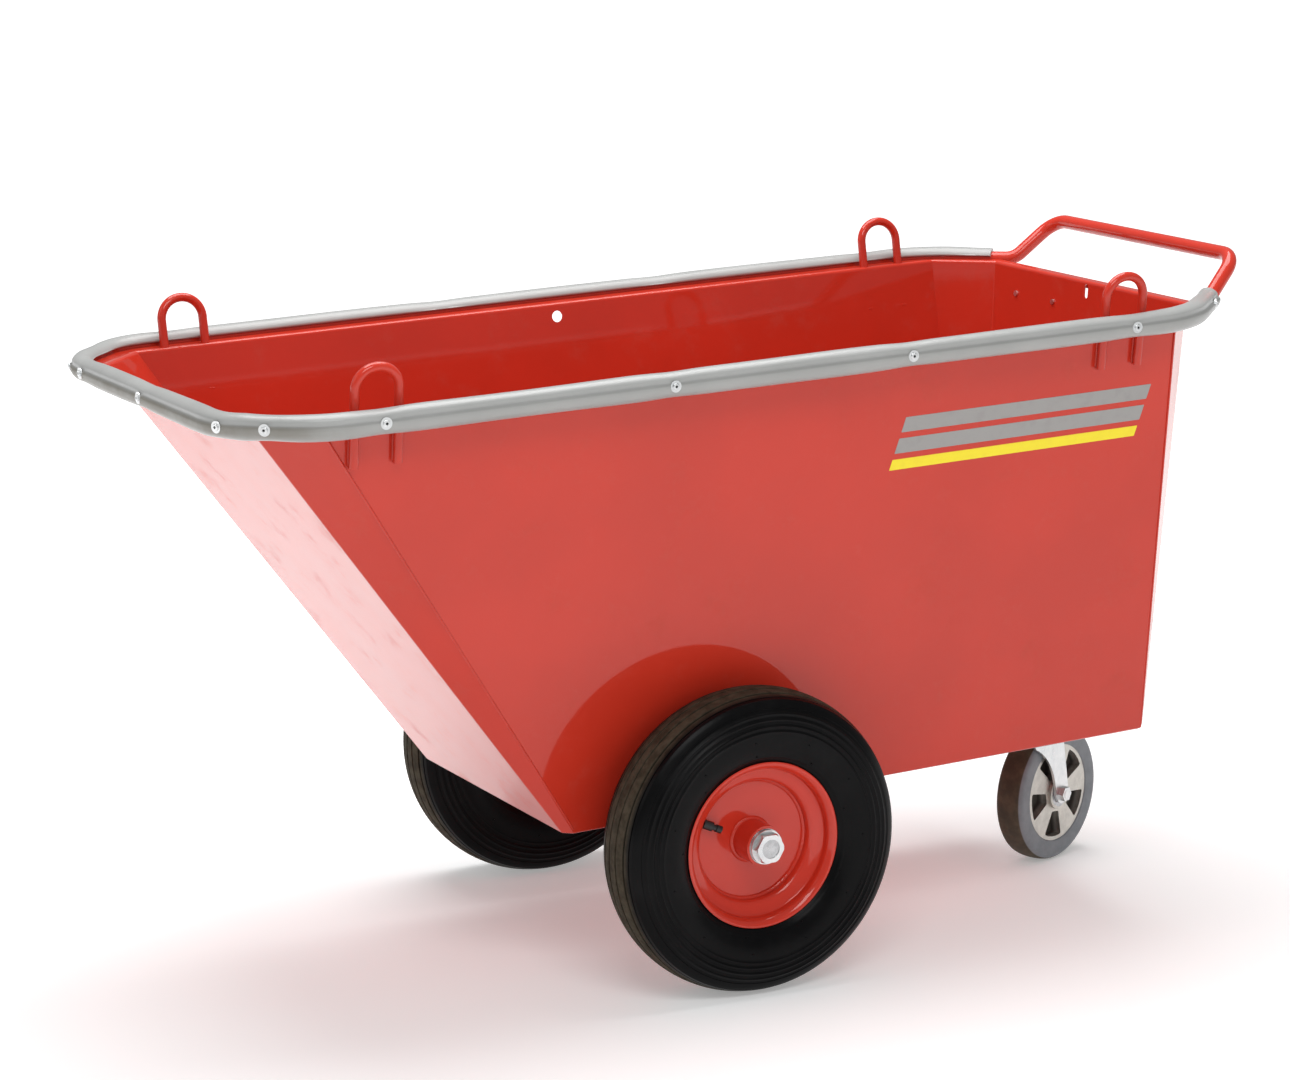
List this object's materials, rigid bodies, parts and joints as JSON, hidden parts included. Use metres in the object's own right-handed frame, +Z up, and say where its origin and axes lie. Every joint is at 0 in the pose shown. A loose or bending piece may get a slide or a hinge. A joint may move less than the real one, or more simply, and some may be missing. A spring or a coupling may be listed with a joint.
{
  "type": "gravity wagon",
  "caption": "Hand-pushed steel tub cart with sloping nose, pneumatic front wheels, swivel rear caster, rubber-covered rim, lifting loops and bent-tube push handle.",
  "frame": {"origin": "middle of the bounding box at the ground", "axes": "+X towards the push handle, nose towards -X, +Z up, left side towards -Y"},
  "size_m": [1.5308, 0.7238, 0.9094],
  "materials": {
    "red_paint": "glossy red enamel over sheet steel and tube",
    "bumper_rubber": "smooth grey rubber hose, satin",
    "zinc_plate": "bright zinc plating",
    "plate_aluminium": "plain brushed sheet, no print",
    "tyre_rubber": "black ribbed pneumatic tyre",
    "tube_rubber": "black butyl inner tube",
    "black_rubber": "black moulded rubber",
    "grey_tread": "elastic grey rubber tread",
    "cast_aluminium": "die-cast, lightly rough",
    "bearing_steel": "ground steel"
  },
  "bodies": {
    "tub": {"side_panel_left": "red_paint", "side_panel_right": "red_paint", "front_panel": "red_paint", "front_corner_left": "red_paint", "front_corner_right": "red_paint", "rear_corner_left": "red_paint", "rear_corner_right": "red_paint", "floor_panel": "red_paint", "rear_panel": "red_paint", "rim_ledge": "red_paint", "rim_tube": "red_paint", "rubber_bumper": "bumper_rubber", "bumper_screws": "zinc_plate", "bumper_washers": "zinc_plate", "lifting_loop_front_left": "red_paint", "lifting_loop_front_right": "red_paint", "lifting_loop_rear_left": "red_paint", "lifting_loop_rear_right": "red_paint", "rating_plate": "plate_aluminium", "plate_rivets": "zinc_plate", "axle_tube": "red_paint", "stub_axle_left": "bearing_steel", "stub_axle_right": "bearing_steel", "axle_washers": "zinc_plate", "axle_nuts": "zinc_plate", "caster_packer": "red_paint", "caster_plate": "zinc_plate", "caster_plate_bolts": "zinc_plate", "caster_race_cup": "zinc_plate", "caster_kingpin": "zinc_plate"},
    "wheel_left": {"tyre_left": "tyre_rubber", "inner_tube_left": "tube_rubber", "wheel_rim_left": "red_paint", "wheel_hub_left": "red_paint", "bearing_outer_left": "bearing_steel", "bearing_inner_left": "bearing_steel", "valve_stem_left": "black_rubber", "valve_cap_left": "black_rubber"},
    "wheel_right": {"tyre_right": "tyre_rubber", "inner_tube_right": "tube_rubber", "wheel_rim_right": "red_paint", "wheel_hub_right": "red_paint", "bearing_outer_right": "bearing_steel", "bearing_inner_right": "bearing_steel", "valve_stem_right": "black_rubber", "valve_cap_right": "black_rubber"},
    "caster_swivel": {"caster_fork": "zinc_plate", "caster_race_balls": "bearing_steel", "caster_sleeve": "zinc_plate", "caster_axle_bolt": "zinc_plate", "caster_axle_nut": "zinc_plate"},
    "caster_wheel": {"caster_tread": "grey_tread", "caster_hub": "cast_aluminium", "caster_bearing_left": "bearing_steel", "caster_bearing_right": "bearing_steel"}
  },
  "joints": [
    {"name": "wheel_left_spin", "type": "hinge", "parent": "tub", "child": "wheel_left", "pos_m": [-0.04937, -0.3056, 0.2], "axis": [0, 1, 0], "continuous": true},
    {"name": "wheel_right_spin", "type": "hinge", "parent": "tub", "child": "wheel_right", "pos_m": [-0.04937, 0.3056, 0.2], "axis": [0, 1, 0], "continuous": true},
    {"name": "caster_swivel", "type": "hinge", "parent": "tub", "child": "caster_swivel", "pos_m": [0.58603, 0, 0.206], "axis": [0, 0, 1], "continuous": true},
    {"name": "caster_wheel_spin", "type": "hinge", "parent": "caster_swivel", "child": "caster_wheel", "pos_m": [0.63044, 0.01794, 0.1], "axis": [-0.3746, 0.9272, 0], "continuous": true}
  ]
}
